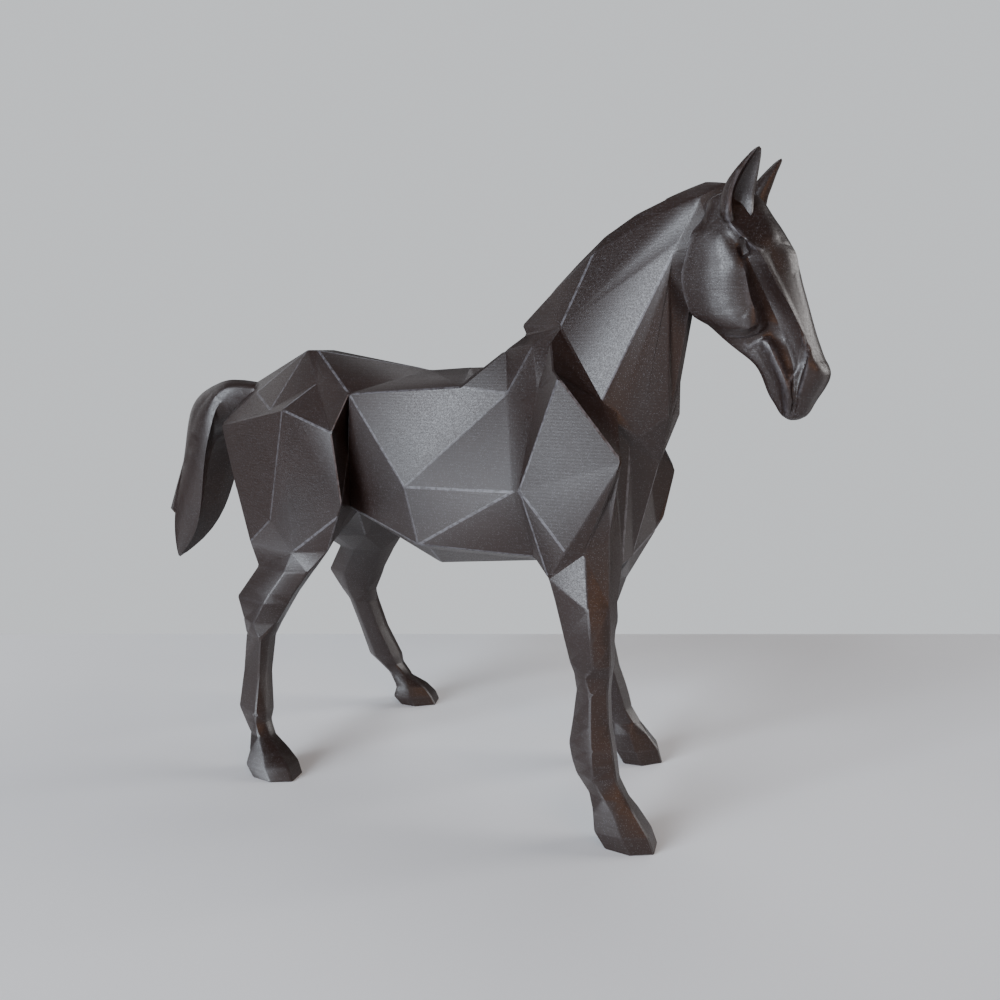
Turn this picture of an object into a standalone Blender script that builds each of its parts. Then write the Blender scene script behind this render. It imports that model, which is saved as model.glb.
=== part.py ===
"""A standing horse in flat facets with a smooth head and tail, printed in one piece."""

import math

import bmesh
import bpy
from mathutils import Matrix, Vector, geometry

# The horse stands on the ground with its head towards +X. Every place on it is given as
# forward, out from the middle and up, in shares of its height at the withers. At the end
# the middle of its ground plan is moved over the origin.
WITHERS = 0.180

WELD = 0.00002
HEAD_ROUNDS = 1
EAR_ROUNDS = 1
TAIL_ROUNDS = 1
PUSHES = 3

FINISH_COLOUR = (0.016, 0.012, 0.012, 1.0)
FINISH_ROUGHNESS = 0.48


# The neck, from the ridge of the mane down to the breast.
NECK = {
    "poll": (0.600, 0.000, 1.268),
    "crest_high": (0.520, 0.000, 1.243),
    "crest_upper": (0.460, 0.000, 1.220),
    "crest_turn": (0.400, 0.000, 1.185),
    "crest_lower": (0.335, 0.000, 1.130),
    "crest_low": (0.270, 0.000, 1.070),
    "mane_end": (0.205, 0.000, 1.010),
    "mane_step": (0.215, 0.000, 0.990),
    "band_top": (0.598, 0.024, 1.238),
    "band_mid": (0.523, 0.030, 1.214),
    "band_low": (0.384, 0.042, 1.148),
    "band_end": (0.323, 0.050, 1.004),
    "neck_edge_high": (0.583, 0.030, 1.201),
    "neck_edge_mid": (0.556, 0.037, 1.141),
    "neck_tip": (0.431, 0.082, 0.860),
    "fold_high": (0.462, 0.068, 0.840),
    "fold_low": (0.500, 0.055, 0.790),
    "fold_high_in": (0.452, 0.080, 0.825),
    "fold_low_in": (0.482, 0.050, 0.775),
    "neck_front_high": (0.547, 0.037, 1.101),
    "neck_front_low": (0.552, 0.030, 0.835),
    "throat": (0.577, 0.012, 1.030),
    "throat_middle": (0.579, 0.000, 1.030),
    "throat_low": (0.555, 0.012, 0.870),
    "throat_low_middle": (0.557, 0.000, 0.870),
    "breast": (0.523, 0.000, 0.737),
    "root_top": (0.645, 0.000, 1.262),
    "root_side": (0.632, 0.022, 1.151),
    "root_low": (0.630, 0.000, 1.080),
}

# The back, the ribs, the belly and the groove in front of the haunch.
BARREL = {
    "back_dip": (-0.030, 0.000, 0.915),
    "withers_back": (0.075, 0.000, 0.922),
    "withers_valley": (0.160, 0.000, 0.925),
    "blade_back": (0.100, 0.025, 0.905),
    "blade_top": (0.184, 0.027, 0.960),
    "rib_top": (0.105, 0.082, 0.882),
    "rib_front_top": (0.210, 0.067, 0.870),
    "rib_hub": (0.002, 0.148, 0.669),
    "hub": (0.273, 0.153, 0.679),
    "hip": (-0.161, 0.129, 0.863),
    "flank_low": (-0.198, 0.100, 0.607),
    "groove_high": (-0.205, 0.070, 0.780),
    "groove_low": (-0.210, 0.060, 0.600),
    "belly_side": (0.045, 0.160, 0.550),
    "belly_strip": (0.020, 0.080, 0.525),
    "belly_corner": (0.305, 0.120, 0.545),
    "belly_front": (0.270, 0.000, 0.512),
    "belly_middle": (-0.005, 0.000, 0.476),
    "groin": (-0.250, 0.000, 0.575),
}

# The shoulder stands proud of the neck and of the ribs.
SHOULDER = {
    "valley_top": (0.264, 0.055, 0.969),
    "valley_mid": (0.289, 0.081, 0.875),
    "ledge_high": (0.320, 0.085, 0.975),
    "ledge_top": (0.347, 0.124, 0.920),
    "ledge_mid": (0.371, 0.146, 0.907),
    "elbow": (0.290, 0.155, 0.684),
    "point": (0.497, 0.122, 0.748),
    "shoulder_low": (0.397, 0.159, 0.571),
    "shoulder_tip": (0.356, 0.153, 0.513),
    "armpit": (0.468, 0.115, 0.680),
    "leg_top_front": (0.468, 0.110, 0.597),
    "leg_top_edge": (0.427, 0.136, 0.569),
    "breast_low": (0.469, 0.000, 0.541),
    "arm_inner_front": (0.462, 0.035, 0.530),
    "arm_inner": (0.420, 0.055, 0.500),
    "arm_inner_back": (0.360, 0.085, 0.505),
    "brisket": (0.390, 0.000, 0.525),
}

# The rump and the thigh.
HAUNCH = {
    "croup": (-0.370, 0.030, 0.958),
    "croup_middle": (-0.370, 0.000, 0.958),
    "croup_front": (-0.335, 0.030, 0.958),
    "croup_front_middle": (-0.335, 0.000, 0.958),
    "tail_head": (-0.565, 0.000, 0.880),
    "tail_side": (-0.520, 0.050, 0.855),
    "rump_side": (-0.423, 0.105, 0.818),
    "rump_corner": (-0.296, 0.080, 0.883),
    "rump_mid": (-0.345, 0.145, 0.823),
    "rump_kink": (-0.357, 0.147, 0.760),
    "buttock": (-0.638, 0.060, 0.771),
    "haunch_front": (-0.176, 0.174, 0.779),
    "haunch_low": (-0.143, 0.182, 0.622),
    "stifle": (-0.156, 0.181, 0.595),
    "stifle_low": (-0.220, 0.145, 0.504),
    "gaskin_edge": (-0.316, 0.160, 0.494),
    "thigh_low": (-0.395, 0.146, 0.562),
    "thigh_heel": (-0.454, 0.157, 0.505),
    "thigh_rear": (-0.563, 0.093, 0.622),
    "dock": (-0.580, 0.000, 0.760),
    "cleft": (-0.500, 0.000, 0.620),
    "crotch": (-0.380, 0.000, 0.585),
    "inner_back": (-0.450, 0.070, 0.500),
    "inner_middle": (-0.370, 0.055, 0.495),
    "inner_front": (-0.280, 0.065, 0.500),
}

# The far foreleg is set back, so these places of the far shoulder sit lower than the near.
FAR_SHOULDER = {
    "point": (0.502, 0.140, 0.708),
    "armpit": (0.490, 0.112, 0.610),
    "leg_top_front": (0.478, 0.100, 0.585),
    "arm_inner_front": (0.450, 0.025, 0.530),
}

# One facet of the near half for each line; both halves are made from the same list.
FACETS = (
    "poll crest_high band_mid band_top",
    "crest_high crest_upper band_mid",
    "crest_upper crest_turn band_mid",
    "crest_turn crest_lower band_low",
    "crest_lower crest_low band_low",
    "crest_low band_end band_low",
    "crest_low mane_end band_end",
    "mane_end mane_step band_end",
    "crest_turn band_low band_mid",
    "band_low band_end neck_tip neck_edge_mid neck_edge_high band_top band_mid",
    "poll band_top root_side root_top",
    "band_top neck_edge_high root_side",
    "neck_edge_high neck_edge_mid neck_front_high root_side",
    "neck_edge_mid neck_tip fold_high fold_low neck_front_low neck_front_high",
    "neck_front_high neck_front_low throat_low throat",
    "neck_front_low breast throat_low",
    "neck_front_high throat root_low root_side",
    "root_side root_low root_top",
    "throat throat_middle root_low",
    "throat throat_low throat_low_middle throat_middle",
    "throat_low breast throat_low_middle",
    "neck_front_low fold_low breast",
    "fold_high fold_high_in fold_low_in fold_low",
    "fold_low fold_low_in breast",
    "mane_step valley_top band_end",
    "band_end valley_top valley_mid ledge_top ledge_high",
    "band_end ledge_high ledge_top neck_tip",
    "ledge_top ledge_mid point fold_high neck_tip",
    "fold_high point fold_high_in",
    "fold_high_in point armpit leg_top_front arm_inner_front breast_low breast fold_low_in",
    "valley_mid elbow ledge_mid ledge_top",
    "ledge_mid elbow point",
    "elbow shoulder_low point",
    "elbow shoulder_tip shoulder_low",
    "elbow hub belly_corner shoulder_tip",
    "point shoulder_low shoulder_tip leg_top_edge leg_top_front armpit",
    "arm_inner_front arm_inner brisket breast_low",
    "arm_inner arm_inner_back belly_front brisket",
    "shoulder_tip belly_corner belly_front arm_inner_back",
    "mane_step withers_valley blade_top",
    "withers_valley withers_back blade_back blade_top",
    "withers_back rib_top blade_back",
    "blade_back rib_top blade_top",
    "rib_top rib_front_top blade_top",
    "mane_step blade_top valley_top",
    "blade_top rib_front_top valley_mid valley_top",
    "rib_front_top hub elbow valley_mid",
    "back_dip hip rib_top withers_back",
    "hip rib_hub rib_front_top rib_top",
    "rib_front_top rib_hub hub",
    "rib_hub belly_side hub",
    "belly_side belly_corner hub",
    "belly_side belly_strip belly_corner",
    "belly_strip belly_middle belly_front belly_corner",
    "hip flank_low rib_hub",
    "flank_low belly_side rib_hub",
    "flank_low belly_strip belly_side",
    "flank_low groin belly_middle belly_strip",
    "hip groove_high groove_low flank_low",
    "flank_low groove_low groin",
    "croup_middle croup croup_front croup_front_middle",
    "croup_front_middle croup_front back_dip",
    "croup_front hip back_dip",
    "croup rump_corner croup_front",
    "croup_front rump_corner rump_mid haunch_front hip",
    "tail_head tail_side rump_side rump_corner croup",
    "tail_head croup croup_middle",
    "rump_corner rump_side rump_mid",
    "tail_head buttock rump_mid rump_side tail_side",
    "buttock thigh_rear thigh_heel thigh_low rump_kink rump_mid",
    "rump_mid rump_kink haunch_front",
    "rump_kink thigh_low gaskin_edge stifle haunch_low haunch_front",
    "hip haunch_front haunch_low groove_low groove_high",
    "haunch_low stifle groove_low",
    "stifle gaskin_edge stifle_low",
    "groove_low stifle stifle_low inner_front groin",
    "thigh_low thigh_heel gaskin_edge",
    "groin inner_front inner_middle crotch",
    "crotch inner_middle inner_back cleft",
    "cleft inner_back thigh_heel thigh_rear",
    "dock cleft thigh_rear buttock",
    "tail_head dock buttock",
)

# Wide facets that lie in one plane: the first three places set it, the others are
# moved out or in until they lie on it too.
FLATS = (
    "band_top neck_tip band_end band_mid band_low neck_edge_high neck_edge_mid",
    "neck_tip neck_front_low neck_front_high fold_high fold_low",
    "rump_kink haunch_front gaskin_edge thigh_low stifle haunch_low",
    "rump_kink thigh_low buttock thigh_rear rump_mid",
    "hip rib_top rib_hub rib_front_top",
)

# The openings of the shell that the legs hang from, in the order of the leg corners.
OPENINGS = {
    "hind": "thigh_heel gaskin_edge stifle_low inner_front inner_middle inner_back",
    "fore": "shoulder_tip leg_top_edge leg_top_front arm_inner_front arm_inner arm_inner_back",
}

# A leg is strung on sections of six corners, from the rear outer one round by the outer
# edge to the front and back along the inner side. Each corner is in shares of half the
# length and half the width of its section; a section may set its own outer edge and its
# own reach to the inside in front.
LEG_CORNERS = {
    "outer_rear": (-1.00, 0.35),
    "outer_edge": (0.45, 1.00),
    "outer_front": (1.00, 0.30),
    "inner_front": (0.85, -0.55),
    "inner_edge": (-0.10, -1.00),
    "inner_rear": (-0.95, -0.45),
}
HOOF_CORNERS = {
    "outer_rear": (-0.72, 0.86),
    "outer_edge": (0.22, 0.86),
    "outer_front": (0.92, 0.22),
    "inner_front": (0.66, -0.86),
    "inner_edge": (-0.30, -1.00),
    "inner_rear": (-0.94, -0.50),
}

# Up, forward, out, half length, half width, place of the outer edge, reach to the inside.
HIND_LEG = (
    (0.452, -0.345, 0.148, 0.078, 0.043, 0.40, 0.55),
    (0.400, -0.378, 0.165, 0.078, 0.042, 0.40, 0.55),
    (0.378, -0.390, 0.173, 0.080, 0.042, 0.38, 0.55),
    (0.329, -0.390, 0.185, 0.051, 0.038, 0.06, 0.55),
    (0.297, -0.389, 0.194, 0.037, 0.033, 0.75, 0.55),
    (0.216, -0.384, 0.213, 0.036, 0.030, 0.84, 0.55),
    (0.133, -0.371, 0.235, 0.044, 0.036, 0.70, 0.55),
    (0.110, -0.361, 0.242, 0.034, 0.030, 0.60, 0.55),
    (0.082, -0.340, 0.248, 0.031, 0.028, 0.40, 0.55),
)
HIND_HOOF = (
    (0.051, -0.311, 0.257, 0.046, 0.038),
    (0.025, -0.298, 0.262, 0.063, 0.048),
    (0.000, -0.276, 0.268, 0.058, 0.046),
)
FORE_LEG = (
    (0.465, 0.427, 0.130, 0.060, 0.044, 0.45, 0.90),
    (0.398, 0.441, 0.137, 0.051, 0.042, 0.45, 0.60),
    (0.355, 0.451, 0.143, 0.045, 0.040, 0.45, 0.55),
    (0.333, 0.455, 0.145, 0.038, 0.036, -0.10, 0.55),
    (0.300, 0.458, 0.148, 0.034, 0.033, 0.20, 0.55),
    (0.241, 0.458, 0.152, 0.039, 0.035, 0.25, 0.55),
    (0.191, 0.461, 0.155, 0.048, 0.038, 0.25, 0.55),
    (0.163, 0.467, 0.157, 0.047, 0.038, 0.20, 0.55),
    (0.134, 0.475, 0.158, 0.044, 0.035, 0.10, 0.55),
    (0.100, 0.499, 0.158, 0.040, 0.034, 0.10, 0.55),
)
FORE_HOOF = (
    (0.074, 0.514, 0.158, 0.048, 0.040),
    (0.035, 0.530, 0.156, 0.062, 0.048),
    (0.000, 0.546, 0.150, 0.056, 0.046),
)

# How a leg leaves its pattern: the turn of its hoof, and shifts forward and out at heights.
POSES = (
    ("hind", -1, 0.0, ((1.00, 0.000, 0.000), (0.00, 0.000, 0.000))),
    ("hind", 1, 40.0, ((0.45, 0.000, 0.000), (0.35, -0.018, 0.000), (0.23, -0.004, 0.006),
                       (0.11, 0.000, 0.020), (0.06, 0.008, 0.026), (0.00, -0.012, 0.030))),
    ("fore", -1, 0.0, ((1.00, 0.000, 0.000), (0.00, 0.000, 0.000))),
    ("fore", 1, 45.0, ((0.60, 0.000, 0.000), (0.47, -0.090, 0.000), (0.40, -0.125, 0.004),
                       (0.30, -0.140, 0.018), (0.14, -0.142, 0.056), (0.07, -0.150, 0.078),
                       (0.00, -0.156, 0.104))),
)

# The head is strung on lines that run from the crown, at ring 0, down to the chin, at
# ring 15. Each line is placed at the rings where it bends and runs straight between them.
LAST_RING = 15
HEAD_LINES = {
    "face_middle": {
        0: (0.662, 0.000, 1.250), 1: (0.699, 0.000, 1.237), 3: (0.745, 0.000, 1.176),
        5: (0.777, 0.000, 1.127), 6: (0.783, 0.000, 1.092), 9: (0.816, 0.000, 0.985),
        12: (0.844, 0.000, 0.915), 13: (0.831, 0.000, 0.884), 15: (0.805, 0.000, 0.839),
    },
    "face_edge": {
        0: (0.656, 0.020, 1.246), 1: (0.694, 0.026, 1.229), 3: (0.740, 0.042, 1.158),
        5: (0.744, 0.050, 1.121), 7: (0.778, 0.042, 1.050), 9: (0.806, 0.036, 0.987),
        11: (0.826, 0.034, 0.940), 12: (0.835, 0.030, 0.915), 13: (0.822, 0.026, 0.883),
        15: (0.799, 0.012, 0.839),
    },
    "brow": {
        0: (0.648, 0.034, 1.242), 1: (0.668, 0.046, 1.232), 2: (0.666, 0.064, 1.199),
        3: (0.687, 0.074, 1.169), 4: (0.712, 0.076, 1.145), 5: (0.731, 0.068, 1.126),
        6: (0.750, 0.060, 1.089), 8: (0.788, 0.048, 1.022), 9: (0.800, 0.043, 0.990),
        11: (0.816, 0.044, 0.943), 12: (0.811, 0.045, 0.917), 13: (0.801, 0.040, 0.883),
        15: (0.791, 0.015, 0.837),
    },
    "hollow": {
        0: (0.642, 0.035, 1.240), 1: (0.659, 0.047, 1.231), 3: (0.675, 0.073, 1.164),
        4: (0.700, 0.066, 1.140), 5: (0.708, 0.062, 1.113), 6: (0.721, 0.046, 1.084),
        7: (0.737, 0.034, 1.046), 9: (0.766, 0.028, 0.984), 11: (0.786, 0.032, 0.931),
        13: (0.791, 0.038, 0.881), 15: (0.786, 0.016, 0.837),
    },
    "cheek_front": {
        0: (0.636, 0.036, 1.238), 1: (0.649, 0.047, 1.230), 3: (0.665, 0.074, 1.160),
        5: (0.699, 0.077, 1.113), 7: (0.719, 0.070, 1.043), 8: (0.729, 0.064, 1.005),
        9: (0.731, 0.042, 0.987), 10: (0.746, 0.047, 0.966), 12: (0.777, 0.046, 0.906),
        13: (0.782, 0.043, 0.879), 15: (0.778, 0.016, 0.835),
    },
    "cheek": {
        0: (0.628, 0.036, 1.234), 1: (0.640, 0.046, 1.227), 3: (0.647, 0.076, 1.154),
        5: (0.655, 0.083, 1.097), 7: (0.660, 0.080, 1.026), 8: (0.691, 0.074, 0.996),
        9: (0.701, 0.046, 0.982), 10: (0.721, 0.038, 0.957), 12: (0.755, 0.034, 0.900),
        15: (0.770, 0.013, 0.837),
    },
    "jaw": {
        0: (0.614, 0.028, 1.229), 1: (0.620, 0.036, 1.219), 3: (0.597, 0.062, 1.158),
        5: (0.583, 0.062, 1.101), 6: (0.585, 0.060, 1.068), 7: (0.598, 0.056, 1.032),
        9: (0.657, 0.044, 0.979), 11: (0.716, 0.030, 0.932), 12: (0.731, 0.027, 0.903),
        13: (0.742, 0.024, 0.876), 15: (0.763, 0.009, 0.840),
    },
    "underside": {
        0: (0.608, 0.000, 1.226), 2: (0.600, 0.000, 1.170), 5: (0.600, 0.000, 1.090),
        7: (0.630, 0.000, 1.030), 9: (0.672, 0.000, 0.982), 11: (0.720, 0.000, 0.928),
        12: (0.735, 0.000, 0.900), 15: (0.766, 0.000, 0.838),
    },
}
# How crisp a line of the head stays when it is rounded: from ring, to ring, crease.
HEAD_CREASES = {
    "face_edge": (2, 12, 0.6),
    "brow": (1, 12, 0.8),
    "cheek_front": (5, 8, 0.4),
    "jaw": (2, 8, 0.6),
}
# The lower rim of the cheek runs round ring 8 between these two lines.
CHEEK_RIM_RING = 8
CHEEK_RIM_LINES = ("cheek_front", "cheek")
CHEEK_RIM_CREASE = 0.5

# The ear: place, half depth, half width and depth of the hollow of each section. The
# hollow faces forward and is turned outwards.
EAR_TURN = 38.0
EAR = (
    ((0.676, 0.046, 1.185), 0.024, 0.025, 0.30),
    ((0.677, 0.050, 1.222), 0.022, 0.029, 0.90),
    ((0.686, 0.056, 1.252), 0.019, 0.027, 1.00),
    ((0.702, 0.061, 1.282), 0.012, 0.018, 0.80),
    ((0.717, 0.066, 1.304), 0.005, 0.007, 0.20),
)
# A section of the ear, from the bottom of the hollow by the rim round to the back.
EAR_HALF_SECTION = ((0.45, 0.00), (0.80, 0.72), (0.10, 1.00), (-0.70, 0.75), (-1.00, 0.00))

# The tail, section by section: the middle of its back, its back edge, its front edge and
# the bottom of its hollow front.
TAIL = (
    ((-0.520, 0, 0.870), (-0.520, 0.022, 0.866), (-0.520, 0.028, 0.835), (-0.520, 0, 0.800)),
    ((-0.600, 0, 0.881), (-0.600, 0.024, 0.872), (-0.595, 0.030, 0.845), (-0.600, 0, 0.790)),
    ((-0.672, 0, 0.880), (-0.665, 0.028, 0.868), (-0.640, 0.038, 0.837), (-0.645, 0, 0.775)),
    ((-0.744, 0, 0.860), (-0.713, 0.036, 0.830), (-0.668, 0.048, 0.811), (-0.680, 0, 0.755)),
    ((-0.795, 0, 0.822), (-0.749, 0.040, 0.795), (-0.676, 0.056, 0.763), (-0.725, 0, 0.725)),
    ((-0.819, 0, 0.751), (-0.774, 0.040, 0.741), (-0.692, 0.060, 0.708), (-0.750, 0, 0.685)),
    ((-0.836, 0, 0.670), (-0.796, 0.039, 0.665), (-0.708, 0.059, 0.640), (-0.770, 0, 0.625)),
    ((-0.864, 0, 0.588), (-0.826, 0.036, 0.586), (-0.730, 0.049, 0.568), (-0.790, 0, 0.560)),
    ((-0.882, 0, 0.515), (-0.850, 0.031, 0.513), (-0.759, 0.037, 0.508), (-0.808, 0, 0.508)),
    ((-0.890, 0, 0.450), (-0.869, 0.020, 0.448), (-0.807, 0.022, 0.450), (-0.842, 0, 0.454)),
    ((-0.886, 0, 0.401), (-0.882, 0.006, 0.402), (-0.866, 0.008, 0.409), (-0.875, 0, 0.406)),
)
# A lock of hair lies down the back of the tail and ends in a step: the place of its back,
# half its width and how deep it reaches into the tail.
TAIL_LOCK = (
    ((-0.806, 0.000, 0.752), 0.008, 0.020),
    ((-0.844, 0.000, 0.680), 0.020, 0.040),
    ((-0.880, 0.000, 0.600), 0.025, 0.050),
    ((-0.912, 0.000, 0.527), 0.024, 0.060),
    ((-0.889, 0.000, 0.513), 0.018, 0.040),
)
# How far into its own depth the lock is widest.
LOCK_WIDEST = 0.6


def place(forward, out, up, side=-1):
    """A point in metres; side is -1 for the near side of the horse and 1 for the far."""
    return Vector((forward, side * out, up)) * WITHERS


def new_object(name, shape):
    """Turn a bmesh into an object of the scene, with its faces outwards."""
    bmesh.ops.recalc_face_normals(shape, faces=shape.faces[:])
    mesh = bpy.data.meshes.new(name)
    shape.to_mesh(mesh)
    shape.free()
    made = bpy.data.objects.new(name, mesh)
    bpy.context.scene.collection.objects.link(made)
    return made


def flattened(landmarks):
    """Move the places of each wide facet out or in until they share its plane."""
    moved = dict(landmarks)
    for line in FLATS:
        names = line.split()
        a, b, c = (Vector(moved[name]) for name in names[:3])
        normal = (b - a).cross(c - a).normalized()
        for name in names[3:]:
            spot = Vector(moved[name])
            hit = geometry.intersect_line_plane(spot - Vector((0, 1, 0)), spot, a, normal)
            moved[name] = (spot.x, hit.y, spot.z)
    return moved


def pose_shift(steps, up):
    """The forward and out shift of a pose at one height."""
    if up >= steps[0][0]:
        return steps[0][1:]
    for (high, fore_high, out_high), (low, fore_low, out_low) in zip(steps, steps[1:]):
        if up >= low:
            share = (up - low) / (high - low)
            return (
                fore_low + (fore_high - fore_low) * share,
                out_low + (out_high - out_low) * share,
            )
    return steps[-1][1:]


def leg_sections(pattern, hoof, side, turn, steps):
    """The corners of every section of one leg, moved into its pose."""
    sections = []
    for up, forward, out, half_length, half_width, edge, reach in pattern:
        corners = dict(LEG_CORNERS)
        corners["outer_edge"] = (edge, corners["outer_edge"][1])
        corners["inner_front"] = (corners["inner_front"][0], -reach)
        sections.append((up, forward, out, half_length, half_width, corners, 0.0))
    for up, forward, out, half_length, half_width in hoof:
        sections.append((up, forward, out, half_length, half_width, HOOF_CORNERS, turn))
    placed = []
    for up, forward, out, half_length, half_width, corners, bearing in sections:
        shift_forward, shift_out = pose_shift(steps, up)
        cosine = math.cos(math.radians(bearing))
        sine = math.sin(math.radians(bearing))
        ring = []
        for along, across in corners.values():
            long = along * half_length
            wide = across * half_width
            ring.append(
                place(
                    forward + shift_forward + long * cosine - wide * sine,
                    out + shift_out + long * sine + wide * cosine,
                    up,
                    side,
                )
            )
        placed.append(ring)
    return placed


def body_with_legs(landmarks):
    """Both halves of the shell from the facets of the near half, with the legs hung on."""
    shape = bmesh.new()
    near = {key: shape.verts.new(place(*spot)) for key, spot in landmarks.items()}
    for line in FACETS:
        shape.faces.new([near[key] for key in line.split()])
    bmesh.ops.triangulate(shape, faces=shape.faces[:], quad_method="BEAUTY", ngon_method="BEAUTY")
    whole = shape.verts[:] + shape.edges[:] + shape.faces[:]
    copied = bmesh.ops.duplicate(shape, geom=whole)["vert_map"]
    far = {key: copied[vert] for key, vert in near.items()}
    for key, vert in far.items():
        vert.co.y = -vert.co.y
        if key in FAR_SHOULDER:
            vert.co = place(*FAR_SHOULDER[key], side=1)
    patterns = {"hind": (HIND_LEG, HIND_HOOF), "fore": (FORE_LEG, FORE_HOOF)}
    for kind, side, turn, steps in POSES:
        corner = near if side < 0 else far
        upper = [corner[key] for key in OPENINGS[kind].split()]
        for section in leg_sections(*patterns[kind], side, turn, steps):
            lower = [shape.verts.new(spot) for spot in section]
            band_between(shape, upper, lower)
            upper = lower
        shape.faces.new(upper)
    bmesh.ops.remove_doubles(shape, verts=shape.verts[:], dist=WELD)
    bmesh.ops.triangulate(shape, faces=shape.faces[:], quad_method="SHORT_EDGE")
    return new_object("body", shape)


def band_between(shape, upper, lower):
    """Join two rings of equal count with a band of four-sided faces."""
    count = len(upper)
    for index in range(count):
        after = (index + 1) % count
        shape.faces.new((upper[index], upper[after], lower[after], lower[index]))


def strung(sections):
    """Join closed sections of equal count into one body with flat ends."""
    shape = bmesh.new()
    rings = [[shape.verts.new(spot) for spot in section] for section in sections]
    for lower, upper in zip(rings, rings[1:]):
        band_between(shape, lower, upper)
    shape.faces.new(rings[0])
    shape.faces.new(list(reversed(rings[-1])))
    return shape


def along_line(line, ring):
    """The place of one line of the head at a ring."""
    if ring in line:
        return Vector(line[ring])
    before = max(level for level in line if level < ring)
    after = min(level for level in line if level > ring)
    return Vector(line[before]).lerp(Vector(line[after]), (ring - before) / (after - before))


def rounded(made, rounds):
    """Round a body with a subdivision surface that passes through the body's own corners."""
    smooth = made.modifiers.new("rounding", "SUBSURF")
    smooth.levels = rounds
    smooth.render_levels = rounds
    corners = made.data.vertices
    wanted = [vert.co.copy() for vert in corners]
    for _ in range(PUSHES):
        graph = bpy.context.evaluated_depsgraph_get()
        surface = made.evaluated_get(graph).to_mesh().vertices
        reached = [surface[index].co.copy() for index in range(len(corners))]
        for vert, goal, spot in zip(corners, wanted, reached):
            vert.co += goal - spot
        made.data.update()
    return made


def head():
    """The smooth head, with crisp lines round the face, the brow, the cheek and the jaw."""
    names = list(HEAD_LINES)
    last = len(names) - 1
    order = list(range(last + 1)) + list(range(last - 1, 0, -1))
    rings = []
    for ring in range(LAST_RING + 1):
        spots = [along_line(HEAD_LINES[name], ring) for name in names]
        near = [place(*spot) for spot in spots]
        far = [place(*spots[index], side=1) for index in range(last - 1, 0, -1)]
        rings.append(near + far)
    shape = strung(rings)
    shape.verts.index_update()
    count = len(order)
    crease = shape.edges.layers.float.new("crease_edge")
    for edge in shape.edges:
        (ring, column), (ring_end, column_end) = sorted(divmod(v.index, count) for v in edge.verts)
        line, line_end = names[order[column]], names[order[column_end]]
        if column == column_end and line in HEAD_CREASES:
            first, final, sharpness = HEAD_CREASES[line]
            if first <= ring and ring_end <= final:
                edge[crease] = sharpness
        if ring == ring_end == CHEEK_RIM_RING and {line, line_end} == set(CHEEK_RIM_LINES):
            edge[crease] = CHEEK_RIM_CREASE
    return rounded(new_object("head", shape), HEAD_ROUNDS)


def ear(name, side):
    """One ear, a leaf with a hollow that faces forward and out."""
    cosine = math.cos(math.radians(EAR_TURN))
    sine = math.sin(math.radians(EAR_TURN))
    outline = list(EAR_HALF_SECTION)
    outline += [(along, -across) for along, across in EAR_HALF_SECTION[-2:0:-1]]
    sections = []
    for (forward, out, up), half_depth, half_width, hollow in EAR:
        section = []
        for index, (along, across) in enumerate(outline):
            deep = (along - hollow if index == 0 else along) * half_depth
            wide = across * half_width
            section.append(
                place(forward + deep * cosine - wide * sine, out + deep * sine + wide * cosine, up, side)
            )
        sections.append(section)
    return rounded(new_object(name, strung(sections)), EAR_ROUNDS)


def tail():
    """The tail, a ribbon with a ridge down its back and a hollow front."""
    sections = []
    for spine, back_edge, front_edge, inside in TAIL:
        near = [place(*spine), place(*back_edge), place(*front_edge), place(*inside)]
        far = [place(*front_edge, side=1), place(*back_edge, side=1)]
        sections.append(near + far)
    return rounded(new_object("tail", strung(sections)), TAIL_ROUNDS)


def tail_lock():
    """The lock of hair on the back of the tail."""
    sections = []
    for (forward, out, up), half_width, depth in TAIL_LOCK:
        sections.append(
            [
                place(forward, out, up),
                place(forward + LOCK_WIDEST * depth, half_width, up),
                place(forward + depth, 0.0, up),
                place(forward + LOCK_WIDEST * depth, half_width, up, side=1),
            ]
        )
    return new_object("tail_lock", strung(sections))


def joined(name, first, others):
    """Unite the bodies into one closed body that shares no inner walls."""
    for other in others:
        union = first.modifiers.new(other.name, "BOOLEAN")
        union.operation = "UNION"
        union.solver = "EXACT"
        union.object = other
    graph = bpy.context.evaluated_depsgraph_get()
    shape = bmesh.new()
    shape.from_mesh(first.evaluated_get(graph).to_mesh())
    bmesh.ops.remove_doubles(shape, verts=shape.verts[:], dist=WELD)
    bmesh.ops.dissolve_degenerate(shape, edges=shape.edges[:], dist=WELD)
    bmesh.ops.triangulate(shape, faces=shape.faces[:])
    for made in [first, *others]:
        bpy.data.objects.remove(made)
    return new_object(name, shape)


def finish():
    """The dark satin plastic of the print."""
    material = bpy.data.materials.new("dark_brown_plastic")
    material.use_nodes = True
    shader = material.node_tree.nodes["Principled BSDF"]
    shader.inputs["Base Color"].default_value = FINISH_COLOUR
    shader.inputs["Roughness"].default_value = FINISH_ROUGHNESS
    material.diffuse_color = FINISH_COLOUR
    return material


def centre_on_origin(made):
    """Bring the middle of the ground plan over the origin and the hooves down to zero."""
    spots = [vert.co for vert in made.data.vertices]
    low = Vector([min(spot[axis] for spot in spots) for axis in range(3)])
    high = Vector([max(spot[axis] for spot in spots) for axis in range(3)])
    middle = (low + high) / 2.0
    made.data.transform(Matrix.Translation((-middle.x, -middle.y, -low.z)))


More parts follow.
